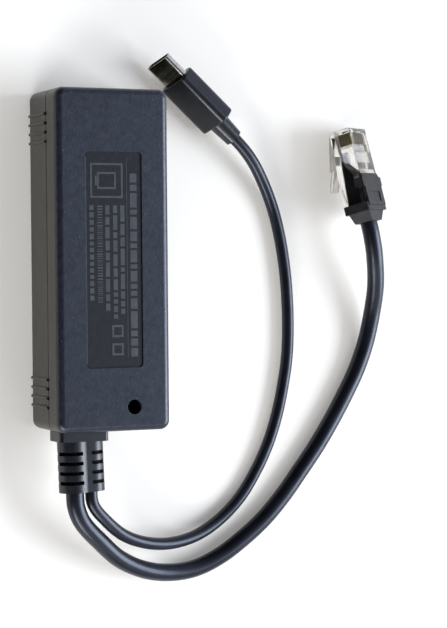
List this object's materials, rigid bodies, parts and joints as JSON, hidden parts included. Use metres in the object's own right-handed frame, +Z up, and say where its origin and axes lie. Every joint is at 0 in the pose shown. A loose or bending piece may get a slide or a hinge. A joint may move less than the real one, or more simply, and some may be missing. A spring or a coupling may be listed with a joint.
{
  "type": "poe splitter",
  "caption": "Inline power-over-network splitter: a two-part plastic case with a network socket at one end, and a network lead and a USB-C power lead at the other.",
  "frame": {"origin": "bottom centre of the case, on the surface that it lies on, leads and strain relief left out", "axes": "+Z up, out of the front face; +Y along the case, towards the network socket; +X to the right of the front face"},
  "size_m": [0.0988, 0.1366, 0.0208],
  "materials": {
    "case_front": "fine moulded texture, dark slate",
    "case_rear": "fine moulded texture, dark slate",
    "board": "green solder mask",
    "socket_plastic": "black moulded plastic",
    "tinned_steel": "tinned sheet",
    "gold": "gold flash",
    "chip_black": "moulded chip body",
    "chip_white": "moulded chip body",
    "ferrite": "sintered ferrite",
    "winding_tape": "polyester tape",
    "capacitor_sleeve": "shrunk sleeve",
    "ceramic": "fired ceramic",
    "led_lens": "tinted lens, unlit",
    "relief_pvc": "satin moulded plastic",
    "wire_insulation": "wire insulation",
    "lead_pvc": "glossy black sheath",
    "clear_plug": "clear moulded plastic",
    "sleeve_pvc": "satin dark sleeve",
    "nickel_steel": "nickel plated steel",
    "overmould_pvc": "satin black moulding"
  },
  "bodies": {
    "root": {"front_shell": "case_front", "rear_shell": "case_rear", "circuit_board": "board", "jack_housing": "socket_plastic", "jack_shield": "tinned_steel", "jack_contacts": "gold", "network_transformer": "chip_black", "transformer_core": "ferrite", "transformer_winding": "winding_tape", "input_capacitor": "capacitor_sleeve", "output_capacitors": "capacitor_sleeve", "bridge_rectifiers": "chip_black", "controller_chip": "chip_black", "switching_transistor": "chip_black", "output_diode": "chip_black", "output_inductor": "ferrite", "optocoupler": "chip_white", "ceramic_capacitors": "ceramic", "indicator_led": "led_lens", "strain_relief": "relief_pvc", "data_wires": "wire_insulation", "power_wires": "wire_insulation", "data_cord": "lead_pvc", "power_cord": "lead_pvc", "data_plug_body": "clear_plug", "data_plug_contacts": "gold", "data_plug_wires": "lead_pvc", "data_plug_boot": "sleeve_pvc", "usb_shell": "nickel_steel", "usb_insulator": "socket_plastic", "usb_contacts": "gold", "usb_overmould": "overmould_pvc"}
  },
  "joints": []
}
